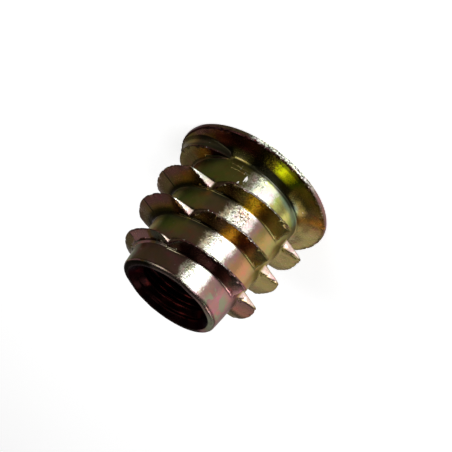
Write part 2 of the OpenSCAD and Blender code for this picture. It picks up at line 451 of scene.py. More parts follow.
class Section:
    """Rows of the shell, with the share of end wall, sharp edge and foot in every column."""

    def __init__(self):
        self.rows = []
        self.masks = {"end_wall": [], "edge": [], "foot": []}

    def add(self, points, end_wall=0.0, edge=0.0, foot=0.0):
        one = np.ones(COLUMNS)
        for r, z in points:
            self.rows.append((r * one, z * one))
            for name, share in (("end_wall", end_wall), ("edge", edge), ("foot", foot)):
                self.masks[name].append(share * one)

    def add_arc(self, centre, radius, degrees, count, **shares):
        for t in np.linspace(*degrees, count):
            turn = math.radians(t)
            r = centre[0] + radius * math.cos(turn)
            z = centre[1] + radius * math.sin(turn)
            self.add([(r, z)], **shares)

    def add_flange(self, foot_r):
        """From the socket's edge over the face, the rim and the flare to the first ridge's foot."""
        face_w = FLANGE_R - FACE_SETBACK - HEX_CORNER_R
        self.add([(HEX_CORNER_R + face_w * t, 0.0) for t in np.linspace(0, 1, FACE_ROWS)])
        self.add_arc((RIM_CORNER_R, RIM_ROUND), RIM_ROUND, (-90, 0), RIM_ROWS)
        self.add([(FLANGE_R, z) for z in np.linspace(RIM_ROUND, RIM_H - RIM_ROUND, RIM_ROWS)[1:-1]])
        self.add_arc((RIM_CORNER_R, RIM_H - RIM_ROUND), RIM_ROUND, (0, 90), RIM_TOP_ROWS, edge=1.0)
        out = foot_r > NECK_R + OUT_OF_NECK
        flare_end = np.where(out, np.maximum(foot_r + FOOT_GAP, NECK_R), NECK_R)
        for t in np.linspace(0, 1, FLARE_ROWS)[1:]:
            r = RIM_CORNER_R + (flare_end - RIM_CORNER_R) * t
            from_wall = np.clip(r - foot_r, 0, RUN_OUT_FILLET)
            drop = np.sqrt(RUN_OUT_FILLET ** 2 - (RUN_OUT_FILLET - from_wall) ** 2)
            fillet = np.where(out, RIM_H + RUN_OUT_FILLET - drop, 0)
            self.add([(r, smooth_max(flare_z(r), fillet, FILLET_BLEND))])

    def add_ridge(self, low_foot, low_top, high_top, high_foot, proud, short):
        """From the last row over the body to a ridge, and over the ridge to its other foot."""
        end_wall = smooth_step(*WALL_SHORT, short) * smooth_step(*WALL_PROUD, proud)
        crest_edge = CREST_SHARE * smooth_step(*CREST_PROUD, proud) * (1 - end_wall)
        at_foot = smooth_step(*FOOT_PROUD, proud)
        gap = between(self.rows[-1], low_foot, GAP_ROWS)
        on_body = [(np.where(z > NECK_Z, body_r(z), r), z) for r, z in gap]
        self.add(on_body)
        self.add(rounded(on_body[-1], low_foot, low_top, FOOT_SETBACK, CORNER_ROWS), foot=at_foot)
        self.add(between(self.rows[-1], low_top, LOW_FLANK_ROWS))
        crest_w = high_top[1] - low_top[1]
        wide = np.minimum(CREST_SETBACK + CREST_SPREAD * crest_w, SIDE_SHARE * crest_w)
        corner = rounded(low_foot, low_top, high_top, wide, CORNER_ROWS)
        for (on_wall, on_crest), point in zip(LOW_CORNER, corner):
            self.add([point], on_wall * end_wall, on_crest * crest_edge)
        corner = rounded(low_top, high_top, high_foot, wide + WALL_SETBACK * end_wall, CORNER_ROWS)
        for (on_wall, on_crest, on_lip), point in zip(HIGH_CORNER, corner):
            self.add([point], on_wall * end_wall, on_crest * crest_edge + on_lip * end_wall)
        self.add(between(self.rows[-1], high_foot, HIGH_FLANK_ROWS))
        above = high_foot[1] + ABOVE_FOOT
        after = (body_r(above), above)
        self.add(rounded(high_top, high_foot, after, FOOT_SETBACK, CORNER_ROWS), foot=at_foot)

    def add_tip(self):
        """From the last ridge over the rounded tip to the edge of the mouth."""
        tip_z = BODY_LENGTH - TIP_ROUND
        tip_r = body_r(tip_z)
        gap = between(self.rows[-1], (tip_r, tip_z), GAP_ROWS)
        self.add([(body_r(z), z) for r, z in gap])
        centre_r = tip_r - TIP_ROUND
        self.add_arc((centre_r, tip_z), TIP_ROUND, (0, 90), TIP_ROWS)
        face_w = MOUTH_R + MOUTH_EDGE - centre_r
        self.add([(centre_r + face_w * t, BODY_LENGTH) for t in (0.5, 1)])
        self.add([(MOUTH_R + MOUTH_ROUND, BODY_LENGTH - MOUTH_ROUND)])
        self.add([(MOUTH_R, BODY_LENGTH - MOUTH_EDGE)])


def shell_section():
    section = Section()
    stations = [ridge_stations(level, data) for level, data in enumerate(ridge_levels())]
    section.add_flange(stations[0][0][0])
    for ridge in stations:
        section.add_ridge(*ridge)
    section.add_tip()
    return section


def row_points(rows):
    radius = np.array([row[0] for row in rows])
    height = np.array([row[1] for row in rows])
    return np.stack([radius * SIN, -radius * COS, height], axis=-1)


def outward_normals(points):
    """Unit normals of a grid of points, away from the axis or up."""
    along = np.gradient(points, axis=0)
    across = np.roll(points, -1, axis=1) - np.roll(points, 1, axis=1)
    normal = np.cross(across, along)
    return normal / np.maximum(np.linalg.norm(normal, axis=-1, keepdims=True), 1e-9)


def grid_mesh(name, points):
    """A mesh of quads over a grid of points in millimetres, closed round the azimuth."""
    count = len(points)
    index = np.arange(count * COLUMNS).reshape(count, COLUMNS)
    following = np.roll(index, -1, axis=1)
    quads = np.stack([index[:-1], following[:-1], following[1:], index[1:]], axis=-1).reshape(-1, 4)
    mesh = bpy.data.meshes.new(name)
    mesh.from_pydata((points * MM).reshape(-1, 3).tolist(), [], quads.tolist())
    mesh.update()
    mesh.polygons.foreach_set("use_smooth", np.ones(len(quads), dtype=bool))
    piece = bpy.data.objects.new(name, mesh)
    bpy.context.scene.collection.objects.link(piece)
    return piece


# ------------ unevenness and wear
WARP_LUMPS = (0.55, 1.7)
WARP_DEPTHS = (0.045, 0.014)
SEAM_HALF = 0.055
SEAM_DEPTH = 0.05
# The parting line starts outside this radius and above this height.
SEAM_FROM_R = (6.0, 6.4)
SEAM_FROM_Z = (1.9, 2.2)
CHIP_DEPTH = 0.12
CHIP_LUMPS = 3.2
CHIP_RANGE = (0.52, 0.74)
CHIP_SHIFT = 31.0
# A knock in the crest of the east tab next to the flange.
KNOCK_AZIMUTH = 66.0
KNOCK_Z = 5.35
KNOCK_SIZE = 0.42
KNOCK_DEPTH = 0.16


def cast_warp(points):
    """The slight unevenness of a casting: a smooth drift, which fades out at the flange's face."""
    x, y, z = points[..., 0], points[..., 1], points[..., 2]
    drift = np.zeros_like(points)
    for axis in range(3):
        for step, (lumps, depth) in enumerate(zip(WARP_LUMPS, WARP_DEPTHS)):
            shift = 7.3 + 11 * axis + 5 * step
            drift[..., axis] += depth * (2 * value_noise(x, y, z, lumps, shift) - 1)
    drift[..., 2] *= smooth_step(0.0, 1.0, z)
    drift[..., :2] *= smooth_step(-0.5, 1.0, z)[..., None]
    return points + drift


def worn_shell(points, edges):
    """Chips along the sharp edges, the parting line on the east tabs and one knocked crest."""
    normal = outward_normals(points)
    x, y, z = points[..., 0], points[..., 1], points[..., 2]
    lumps = value_noise(x, y, z, CHIP_LUMPS, CHIP_SHIFT)
    chips = smooth_step(*CHIP_RANGE, lumps) * edges * CHIP_DEPTH
    on_tabs = smooth_step(*SEAM_FROM_R, np.hypot(x, y)) * smooth_step(*SEAM_FROM_Z, z) * (x > 0)
    seam = SEAM_DEPTH * np.exp(-((y / SEAM_HALF) ** 2)) * on_tabs
    turn = math.radians(KNOCK_AZIMUTH)
    reach = THREAD_R + EAST_EXTRA
    gap = (x - reach * math.sin(turn)) ** 2 + (y + reach * math.cos(turn)) ** 2 + (z - KNOCK_Z) ** 2
    knock = KNOCK_DEPTH * np.exp(-gap / KNOCK_SIZE ** 2) * (0.5 + lumps)
    inwards = np.stack([x, y, 0 * z], -1) / reach
    return points - normal * (chips + seam)[..., None] - knock[..., None] * inwards


# ------------ bore and socket
THREAD_ROWS = 108
# Shares of a thread's wave that its crest and its flank take.
M8_CREST = 0.12
M8_FLANK = 0.76
SOCKET_ROWS = 5
SOCKET_ROUND = 0.1
SOCKET_TRIM = 0.04
SOCKET_LEDGE = 0.02
SOCKET_FILLET = 0.05
SOCKET_EDGE = 0.03
ABOVE_BEVEL = 0.04
# The socket's plain rows end this far below its floor and this far above the flange's face.
BELOW_FLOOR = 0.4
ABOVE_FACE = 1.0


def bore_rows():
    """Rows from the mouth's edge down the bevel and the thread into the socket and to the face."""
    rows = []

    def add(r, z):
        rows.append((r * np.ones(COLUMNS), z * np.ones(COLUMNS)))

    top_z = BODY_LENGTH - MOUTH_EDGE
    add(MOUTH_R, top_z)
    for z in np.linspace(top_z, HEX_DEPTH, THREAD_ROWS)[1:]:
        phase = np.mod(z / M8_PITCH + AZIMUTH / 360, 1)
        wave = abs(phase - 0.5) * 2
        thread = BORE_R + (M8_ROOT_R - BORE_R) * np.clip((wave - M8_CREST) / M8_FLANK, 0, 1)
        add(np.maximum(thread, MOUTH_R - (top_z - z)), z)
    hex_r = HEX_AF / 2 / np.cos(np.radians(np.mod(AZIMUTH + 30, 60) - 30))
    hex_r = smooth_min(hex_r, np.full(COLUMNS, HEX_CORNER_R - SOCKET_TRIM), SOCKET_ROUND)
    add(np.maximum(rows[-1][0], HEX_AF / 2 - SOCKET_LEDGE), HEX_DEPTH)
    add(hex_r - SOCKET_FILLET, HEX_DEPTH)
    add(hex_r, HEX_DEPTH - SOCKET_FILLET)
    for z in np.linspace(HEX_DEPTH - BELOW_FLOOR, ABOVE_FACE, SOCKET_ROWS):
        add(hex_r, z)
    bevel_z = HEX_CORNER_R - hex_r
    add(hex_r, bevel_z + ABOVE_BEVEL)
    add(hex_r + SOCKET_EDGE, bevel_z - SOCKET_EDGE * (bevel_z > SOCKET_EDGE))
    add((hex_r + HEX_CORNER_R) / 2, bevel_z / 2)
    add(HEX_CORNER_R, 0)
    return rows


# ------------ pieces
shell_rows = shell_section()
shell_points = worn_shell(row_points(shell_rows.rows), np.array(shell_rows.masks["edge"]))
shell = grid_mesh("insert_shell", cast_warp(shell_points))
bore = grid_mesh("insert_bore", cast_warp(row_points(bore_rows())))
for mask, shares in shell_rows.masks.items():
    layer = shell.data.attributes.new(mask, "FLOAT", "POINT")
    layer.data.foreach_set("value", np.array(shares).ravel())
PIECES = (shell, bore)
for piece in PIECES:
    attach(piece, "root")
    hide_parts("insert")

# ------------ camera
ELEVATION = math.radians(24.75)
ROLL = math.radians(142.07)
TURN = math.radians(10)
FOCAL_PX = 941.7
FRAME_PX = 452
DISTANCE = 91.79 * MM
SHIFT_PX = (-14.15, -14.73)
CLIP_START = 0.005


def studio_camera():
    """A camera in front of the part, above it, and rolled as in the photograph."""
    turn = Matrix.Rotation(TURN, 3, "Z")
    back_axis = turn @ Vector((0, -math.cos(ELEVATION), math.sin(ELEVATION)))
    right = Vector((1, 0, 0))
    up = Vector((0, math.sin(ELEVATION), math.cos(ELEVATION)))
    x_axis = turn @ (math.cos(ROLL) * right - math.sin(ROLL) * up)
    y_axis = turn @ (math.sin(ROLL) * right + math.cos(ROLL) * up)
    eye = Vector((0, 0, BODY_LENGTH / 2 * MM)) + DISTANCE * back_axis
    data = bpy.data.cameras.new("camera")
    camera = bpy.data.objects.new("camera", data)
    bpy.context.scene.collection.objects.link(camera)
    camera.matrix_world = Matrix((
        (x_axis.x, y_axis.x, back_axis.x, eye.x),
        (x_axis.y, y_axis.y, back_axis.y, eye.y),
        (x_axis.z, y_axis.z, back_axis.z, eye.z),
        (0, 0, 0, 1),
    ))
    data.lens = data.sensor_width * FOCAL_PX / FRAME_PX
    data.shift_x = -SHIFT_PX[0] / FRAME_PX
    data.shift_y = -SHIFT_PX[1] / FRAME_PX
    data.clip_start = CLIP_START
    return camera


bpy.context.scene.camera = studio_camera()


# ------------ colours
SILVER = (0.90, 0.87, 0.83)
STRAW = (0.68, 0.59, 0.20)
PEACH = (0.58, 0.34, 0.14)
LIME_GOLD = (0.42, 0.44, 0.13)
GOLD = (0.52, 0.34, 0.085)
SAND = (0.40, 0.29, 0.095)
TAN = (0.52, 0.385, 0.165)
KHAKI = (0.24, 0.19, 0.07)
OLIVE = (0.15, 0.115, 0.03)
DARK_OLIVE = (0.050, 0.040, 0.010)
DARK_GREEN = (0.030, 0.034, 0.008)
SLATE = (0.15, 0.18, 0.16)
WARM = (0.33, 0.215, 0.09)
GREY_GREEN = (0.25, 0.29, 0.17)
DULL_SILVER = (0.66, 0.60, 0.57)
SMOKE = (0.24, 0.22, 0.17)
DUSK = (0.045, 0.028, 0.014)
PLUM = (0.045, 0.021, 0.017)
MAUVE = (0.27, 0.15, 0.145)
ROSY_GREY = (0.44, 0.19, 0.205)
PINK = (0.78, 0.36, 0.37)
ROSE = (0.46, 0.20, 0.14)
RASPBERRY = (0.42, 0.165, 0.17)
TAWNY = (0.40, 0.20, 0.065)
BROWN = (0.28, 0.135, 0.035)
UMBER = (0.13, 0.085, 0.022)
MAROON = (0.060, 0.012, 0.012)
GARNET = (0.15, 0.038, 0.032)
BLACK_RED = (0.040, 0.013, 0.014)
BRUISE = (0.085, 0.040, 0.032)
TAUPE = (0.42, 0.34, 0.26)
CHARTREUSE = (1.0, 1.0, 0.012)
GREEN = (0.12, 0.19, 0.012)
AMBER = (0.45, 0.26, 0.014)
HONEY = (0.85, 0.52, 0.028)
ORANGE = (0.60, 0.24, 0.040)
MUSTARD = (0.26, 0.19, 0.015)
TEAL = (0.34, 0.50, 0.42)
PALE_GREEN = (0.30, 0.42, 0.24)
ASH = (0.17, 0.115, 0.10)
INK = (0.018, 0.016, 0.009)
BLACK = (0.0, 0.0, 0.0)
LIFTED = (1.15, 1.15, 1.15)
# Painted shade and a painted reddish glow inside the bore.
BORE_PAINTED_SHADE = (0.007, 0.002, 0.002)
BORE_PAINTED_GLOW = (0.045, 0.006, 0.005)

# Tints multiply the colour below them.
LOW_GAP_TINT = (0.80, 0.86, 0.80)
HIGH_GAP_TINT = (1.0, 0.76, 0.96)
SECOND_RIDGE_TINT = (0.55, 0.38, 0.65)
# This tint tones down the painted highlight between the two lower front ridges, towards pink.
SECOND_GAP_HIGHLIGHT_TINT = (0.70, 0.58, 0.55)
MOTTLE_TINTS = (
    (0.34, (1.28, 0.80, 0.90)),
    (0.48, (1.0, 1.0, 1.0)),
    (0.62, (0.80, 0.95, 0.70)),
)
BLOTCH_TINTS = (
    (0.30, (1.15, 0.82, 0.90)),
    (0.42, (1.0, 1.0, 1.0)),
    (0.55, (0.90, 1.04, 0.85)),
    (0.68, (1.12, 1.0, 0.80)),
)

# The film's colours round the part, by kind of surface: stops in degrees of azimuth. Behind the
# last of them each film has one plain colour. Many stops are painted light, placed as the part is
# seen from the front: each film's comment tells which.
BEHIND = 130
# Neck: silver from -9 to 8 degrees is a painted highlight, and the dark stops in the east are painted
# shade.
NECK_FILM_AND_PAINTED_LIGHT = (
    (-110, SAND), (-70, KHAKI), (-56, KHAKI), (-46, LIME_GOLD), (-36, STRAW), (-26, KHAKI),
    (-16, LIME_GOLD), (-9, SILVER), (8, SILVER), (13, SMOKE), (20, DARK_OLIVE), (45, DARK_OLIVE),
    (65, DARK_GREEN), (88, UMBER),
)
# Middle: silver from -8 to 9 degrees is a painted highlight, and the dark stops in the east are
# painted shade.
MIDDLE_FILM_AND_PAINTED_LIGHT = (
    (-110, SAND), (-55, SAND), (-45, TAN), (-35, PEACH), (-25, WARM), (-15, MAUVE),
    (-8, SILVER), (9, SILVER), (15, TAUPE), (21, DUSK), (32, DUSK), (45, DARK_OLIVE),
    (66, DARK_GREEN), (86, KHAKI),
)
# Tip: silver from -7 to 7 degrees is a painted highlight, and the dark stops in the east are painted
# shade.
TIP_FILM_AND_PAINTED_LIGHT = (
    (-110, SAND), (-66, MAUVE), (-48, ROSY_GREY), (-34, ROSY_GREY), (-24, MAUVE), (-13, MAUVE),
    (-7, SILVER), (7, SILVER), (13, SMOKE), (19, PLUM), (60, PLUM), (75, DUSK), (95, SMOKE),
)
# Flanks: AMBER to HONEY from -6 to 6 degrees is a painted glint, the lit barrel beside each flank seen
# in it.
FLANK_FILM_AND_PAINTED_GLINT = (
    (-110, TAN), (-66, TAN), (-44, SAND), (-32, KHAKI), (-14, KHAKI), (-6, AMBER), (1, HONEY),
    (6, AMBER), (11, OLIVE), (22, WARM), (34, TAN), (43, UMBER), (54, BROWN), (64, TAWNY),
    (82, TAWNY), (89, WARM),
)
# Tip ridge: BLACK_RED from -4 to 14 degrees is painted shade on the flank at the front.
FLANK_TIP_FILM_AND_PAINTED_SHADE = (
    (-110, SAND), (-98, UMBER), (-88, ROSE), (-60, MAUVE), (-40, PINK), (-28, ASH), (-15, BRUISE),
    (-4, BLACK_RED), (14, BLACK_RED), (24, BRUISE), (33, TAUPE), (48, TAUPE), (55, SMOKE),
    (60, TAWNY), (65, PINK), (88, PINK), (91, WARM),
)
# Flare: CHARTREUSE from -6 to 4 degrees is a painted highlight, the yellow-green spot at the front.
FLARE_FILM_AND_PAINTED_HIGHLIGHT = (
    (-110, TAN), (-74, TAN), (-64, PEACH), (-56, ORANGE), (-46, WARM), (-34, OLIVE), (-20, OLIVE),
    (-13, GREEN), (-6, CHARTREUSE), (4, CHARTREUSE), (9, MUSTARD), (17, DARK_OLIVE), (28, GARNET),
    (58, GARNET), (64, BROWN), (76, TAWNY), (90, SAND),
)
# Crease: INK from -17 to 20 degrees is painted shade at the front.
CREASE_FILM_AND_PAINTED_SHADE = (
    (-110, GOLD), (-75, TAN), (-58, TAN), (-47, PALE_GREEN), (-36, SLATE), (-26, KHAKI), (-17, INK),
    (20, INK), (28, OLIVE), (34, KHAKI), (42, KHAKI), (50, BLACK_RED), (60, MAROON), (68, DUSK),
    (92, UMBER),
)
RUN_OUT_FILM = (
    (44, OLIVE), (50, MAROON), (62, MAROON), (70, TAWNY), (80, TAWNY), (90, WARM), (106, WARM),
)
# Rim: silver from -12 to 24 degrees is a painted reflection of the white floor.
RIM_FILM_AND_PAINTED_REFLECTION = (
    (-110, SAND), (-66, MAUVE), (-26, MAUVE), (-12, SILVER), (24, SILVER), (36, DUSK), (76, PLUM),
    (100, UMBER),
)
LIP_FILM = (
    (-104, INK), (-94, MAUVE), (-80, SMOKE), (-52, SMOKE), (-30, MAUVE), (-10, ASH), (44, ASH),
    (54, INK),
)


# ------------ nodes
class Nodes:
    """Short ways to make and join the nodes of one material."""

    def __init__(self, material):
        material.use_nodes = True
        self.tree = material.node_tree
        self.shader = self.tree.nodes["Principled BSDF"]

    def new(self, kind, **settings):
        node = self.tree.nodes.new(kind)
        for name, value in settings.items():
            setattr(node, name, value)
        return node

    def feed(self, value, socket):
        """Joins an output to the socket, or sets the socket's own value."""
        if isinstance(value, bpy.types.NodeSocket):
            self.tree.links.new(value, socket)
        else:
            socket.default_value = value

    def math(self, operation, a, b=0.0, clamp=False):
        node = self.new("ShaderNodeMath", operation=operation, use_clamp=clamp)
        self.feed(a, node.inputs[0])
        self.feed(b, node.inputs[1])
        return node.outputs[0]

    def product(self, first, *others):
        for other in others:
            first = self.math("MULTIPLY", first, other)
        return first

    def sum(self, a, b):
        return self.math("ADD", a, b)

    def distance(self, a, b):
        return self.math("ABSOLUTE", self.math("SUBTRACT", a, b))

    def remap(self, value, low, high, to_low=0.0, to_high=1.0):
        """Leads smoothly from to_low, where the value is low, to to_high, where it is high."""
        node = self.new("ShaderNodeMapRange", interpolation_type="SMOOTHSTEP")
        self.feed(value, node.inputs["Value"])
        names = ("From Min", "From Max", "To Min", "To Max")
        for name, number in zip(names, (low, high, to_low, to_high)):
            self.feed(number, node.inputs[name])
        return node.outputs["Result"]

    def within(self, value, start, full, still_full, end):
        """1 while the value is between full and still_full, and 0 before start and after end."""
        return self.product(self.remap(value, start, full), self.remap(value, end, still_full))

    def noise(self, place, scale, detail=2.0, roughness=0.5, distortion=0.0):
        node = self.new("ShaderNodeTexNoise")
        self.feed(place, node.inputs["Vector"])
        node.inputs["Scale"].default_value = scale
        node.inputs["Detail"].default_value = detail
        node.inputs["Roughness"].default_value = roughness
        node.inputs["Distortion"].default_value = distortion
        return node.outputs["Fac"]

    def mix(self, share, a, b, blend="MIX"):
        node = self.new("ShaderNodeMix", data_type="RGBA", blend_type=blend)
        self.feed(share, node.inputs["Factor"])
        colours = [socket for socket in node.inputs if socket.type == "RGBA"]
        for value, socket in zip((a, b), colours):
            self.feed(value if isinstance(value, bpy.types.NodeSocket) else (*value, 1), socket)
        return [socket for socket in node.outputs if socket.type == "RGBA"][0]

    def ramp(self, value, stops):
        node = self.new("ShaderNodeValToRGB")
        node.color_ramp.interpolation = "EASE"
        elements = node.color_ramp.elements
        while len(elements) < len(stops):
            elements.new(0.5)
        for element, (place, colour) in zip(elements, stops):
            element.position = place
            element.color = (*colour, 1)
        self.feed(value, node.inputs["Fac"])
        return node.outputs["Color"]

    def bump(self, height, strength, distance):
        node = self.new("ShaderNodeBump")
        self.feed(strength, node.inputs["Strength"])
        node.inputs["Distance"].default_value = distance * MM
        self.feed(height, node.inputs["Height"])
        return node


class Metal(Nodes):
    """The nodes of the metal, which know where a point lies on the part and how it faces.

    Places are in millimetres and angles are azimuths in radians.
    """

    def __init__(self, material):
        super().__init__(material)
        millimetres = self.new("ShaderNodeVectorMath", operation="SCALE")
        self.feed(self.new("ShaderNodeTexCoord").outputs["Object"], millimetres.inputs[0])
        millimetres.inputs["Scale"].default_value = 1 / MM
        self.place = millimetres.outputs["Vector"]
        split = self.new("ShaderNodeSeparateXYZ")
        self.feed(self.place, split.inputs[0])
        self.x, self.y, self.z = split.outputs
        normal = self.new("ShaderNodeSeparateXYZ")
        self.feed(self.new("ShaderNodeNewGeometry").outputs["Normal"], normal.inputs[0])
        self.up = normal.outputs["Z"]
        squares = self.sum(self.product(self.x, self.x), self.product(self.y, self.y))
        self.radius = self.math("SQRT", squares)
        self.angle = self.math("ARCTAN2", self.x, self.product(self.y, -1.0))
        # Looks that belong to the east fade out before the back, where the azimuth starts again.
        self.before_back = self.remap(self.angle, 2.7, 2.0)
        # How much a surface is a flank, which looks along the axis, and not the barrel.
        self.facing = self.remap(self.up, 0.35, 0.72)
        self.speck = self.noise(self.place, 5.5, detail=3.0, roughness=0.7)
        # The share of a turn, which noise makes a little uneven.
        drift = self.noise(self.place, 0.55, detail=3.0, roughness=0.6)
        swirl = self.product(self.math("SUBTRACT", drift, 0.5), 0.04)
        swirl = self.sum(swirl, self.product(self.math("SUBTRACT", self.speck, 0.5), 0.03))
        turn_share = self.sum(self.math("DIVIDE", self.angle, 2 * math.pi), 0.5)
        self.along = self.sum(turn_share, swirl)

    def film(self, stops, behind=OLIVE):
        """The film's colour round the part, with its painted light, and plain behind it."""
        stops = ((-180, behind), *stops, (BEHIND, behind), (180, behind))
        return self.ramp(self.along, [((degrees + 180) / 360, colour) for degrees, colour in stops])

    def mask(self, name):
        return self.new("ShaderNodeAttribute", attribute_name=name).outputs["Fac"]


# ------------ metal
EDGE_REFLECTION = (0.52, 0.49, 0.50, 1)
SMOOTHEST = 0.17
ROUGHEST = 0.28
BARREL_ROUGHER = 0.14
GRAIN_STRENGTH = 0.6
GRAIN_DEPTH = 0.012
PEEL_DEPTH = 0.11


def barrel_colour(n):
    """The body between the ridges, which changes from the neck to the tip."""
    # The three barrel films carry a painted highlight at the front and painted shade in the east.
    colour = n.mix(n.remap(n.z, 3.8, 5.4), n.film(NECK_FILM_AND_PAINTED_LIGHT), n.film(MIDDLE_FILM_AND_PAINTED_LIGHT))
    colour = n.mix(n.remap(n.z, 10.6, 12.2), colour, n.film(TIP_FILM_AND_PAINTED_LIGHT))
    near_flange = n.remap(n.z, 2.5, 1.9, 0.0, 0.6)
    bluish = n.product(n.within(n.angle, -1.1, -0.9, -0.32, -0.22), near_flange)
    colour = n.mix(bluish, colour, TEAL)
    mottle = n.ramp(n.noise(n.place, 0.45, detail=1.0), MOTTLE_TINTS)
    mottled = n.product(n.remap(n.angle, 0.35, 0.6), n.before_back)
    colour = n.mix(mottled, colour, mottle, "MULTIPLY")
    westwards = n.within(n.angle, -1.1, -0.95, -0.4, -0.3)
    in_gaps = n.within(n.z, 4.6, 5.4, 11.6, 12.0)
    gap_tint = n.mix(n.remap(n.z, 8.4, 9.4), LOW_GAP_TINT, HIGH_GAP_TINT)
    return n.mix(n.product(westwards, in_gaps), colour, gap_tint, "MULTIPLY")


def flank_colour(n, wrinkle):
    """The ridges' flanks, from the run-out by the flange to the ridge by the tip."""
    colour = n.film(FLANK_FILM_AND_PAINTED_GLINT)
    second_up = n.remap(n.z, 6.5, 7.5)
    on_second = n.product(second_up, n.remap(n.angle, 0.4, 0.25), n.remap(n.angle, -0.45, -0.25))
    colour = n.mix(on_second, colour, SECOND_RIDGE_TINT, "MULTIPLY")
    # Painted shade: in the east the flanks turn dark olive towards the body.
    on_east = n.product(n.remap(n.angle, 0.9, 1.1), n.before_back)
    colour = n.mix(n.product(on_east, n.remap(n.radius, 6.7, 6.1)), colour, DARK_OLIVE)
    towards_crest = n.sum(n.radius, n.remap(n.z, 6.5, 7.5, 0.0, 0.35))
    on_crests = n.product(n.remap(towards_crest, 6.8, 7.6), on_east)
    rosy = n.product(n.remap(n.y, 0.05, -0.05, 0.3, 1.0), n.remap(n.z, 6.5, 7.5, 0.7, 0.85))
    colour = n.mix(n.product(on_crests, rosy), colour, RASPBERRY)
    colour = n.mix(n.remap(n.z, 10.0, 10.6), colour, n.film(FLANK_TIP_FILM_AND_PAINTED_SHADE))
    on_run_out = n.product(n.remap(n.z, 3.6, 3.4), n.remap(n.angle, 0.7, 0.8))
    colour = n.mix(on_run_out, colour, n.film(RUN_OUT_FILM))
    sandy = n.product(on_run_out, n.remap(n.angle, 1.2, 1.5, 0.0, 0.7), n.before_back)
    colour = n.mix(n.product(sandy, n.remap(n.radius, 7.0, 7.5)), colour, TAN)
    # Painted glint: at the front the flanks' colour is broken into dark wrinkles, with lifted bright
    # colour between them.
    glinting = n.within(n.angle, -0.25, -0.15, 0.15, 0.25)
    return n.mix(glinting, colour, n.mix(wrinkle, BLACK, LIFTED), "MULTIPLY")


def flare_colour(n):
    """The flange's flare, with the crease in which it meets the neck."""
    colour = n.film(FLARE_FILM_AND_PAINTED_HIGHLIGHT)
    # Painted shade: in the west the flare darkens towards the crease.
    inner = n.product(n.remap(n.radius, 7.4, 6.9), n.remap(n.angle, -0.35, -0.5))
    inner = n.product(inner, n.remap(n.angle, -1.4, -1.2))
    colour = n.mix(n.product(inner, 0.6), colour, UMBER)
    # Painted shade: around its painted highlight the flare turns dark towards the rim.
    outer = n.product(n.within(n.angle, -0.4, -0.2, 0.2, 0.4), n.remap(n.radius, 7.75, 8.0))
    colour = n.mix(n.product(outer, 0.7), colour, DARK_OLIVE)
    rosy_edge = n.product(n.remap(n.radius, 7.7, 8.1), n.remap(n.angle, 0.5, 1.1, 0.0, 0.7))
    rosy_edge = n.product(rosy_edge, n.remap(n.angle, 1.5, 1.35))
    colour = n.mix(rosy_edge, colour, RASPBERRY)
    # The crease by the neck takes the crease film, with its painted shade at the front.
    outwards = n.sum(n.radius, n.remap(n.angle, -0.6, -0.9, 0.0, 0.45))
    west_end = n.remap(n.angle, -1.2, -0.95, 7.1, 6.5)
    crease_end = n.sum(west_end, n.remap(n.angle, -0.5, -0.25, 0.0, 0.55))
    crease = n.math("DIVIDE", n.math("SUBTRACT", crease_end, outwards), 0.45, clamp=True)
    return n.mix(crease, colour, n.film(CREASE_FILM_AND_PAINTED_SHADE))


def add_flange(n, film):
    """The flare, painted shade in the corners where ridges and body meet it, the rim with a painted
    reflection, and the tip's lip.
    """
    on_flare = n.product(n.remap(n.z, 1.85, 1.6), n.remap(n.radius, 5.96, 6.0))
    film = n.mix(on_flare, film, flare_colour(n))
    # Painted shade: in the east the run-out's fillet beside the neck turns nearly black.
    turned_away = n.product(n.remap(n.up, 0.95, 0.85), n.before_back)
    beside_neck = n.product(n.remap(n.radius, 6.0, 6.1), n.remap(n.angle, 0.72, 0.8))
    in_fillet = n.product(n.product(n.remap(n.z, 2.0, 1.85), turned_away), beside_neck)
    film = n.mix(n.product(in_fillet, n.remap(n.angle, 1.5, 1.3, 0.7, 0.97)), film, INK)
    # Painted shade: at the front the crease at the foot of the neck turns nearly black.
    in_crease = n.product(n.remap(n.z, 1.95, 1.7), n.remap(n.radius, 6.25, 6.1))
    in_crease = n.product(in_crease, n.within(n.angle, -0.75, -0.5, 0.4, 0.5))
    film = n.mix(n.product(in_crease, 0.9), film, INK)
    # Painted reflection: the rim's film is silver at the front, where its side shows the white floor.
    on_rim = n.product(n.remap(n.radius, 8.30, 8.42), n.remap(n.up, 0.55, 0.25))
    chipped = n.product(n.within(n.angle, -0.6, -0.3, 0.7, 1.0), n.remap(n.speck, 0.49, 0.44))
    film = n.mix(on_rim, film, n.mix(chipped, n.film(RIM_FILM_AND_PAINTED_REFLECTION), INK))
    on_lip = n.product(n.remap(n.z, 14.55, 14.75), n.remap(n.up, 0.45, 0.8))
    return n.mix(on_lip, film, n.film(LIP_FILM, behind=INK))


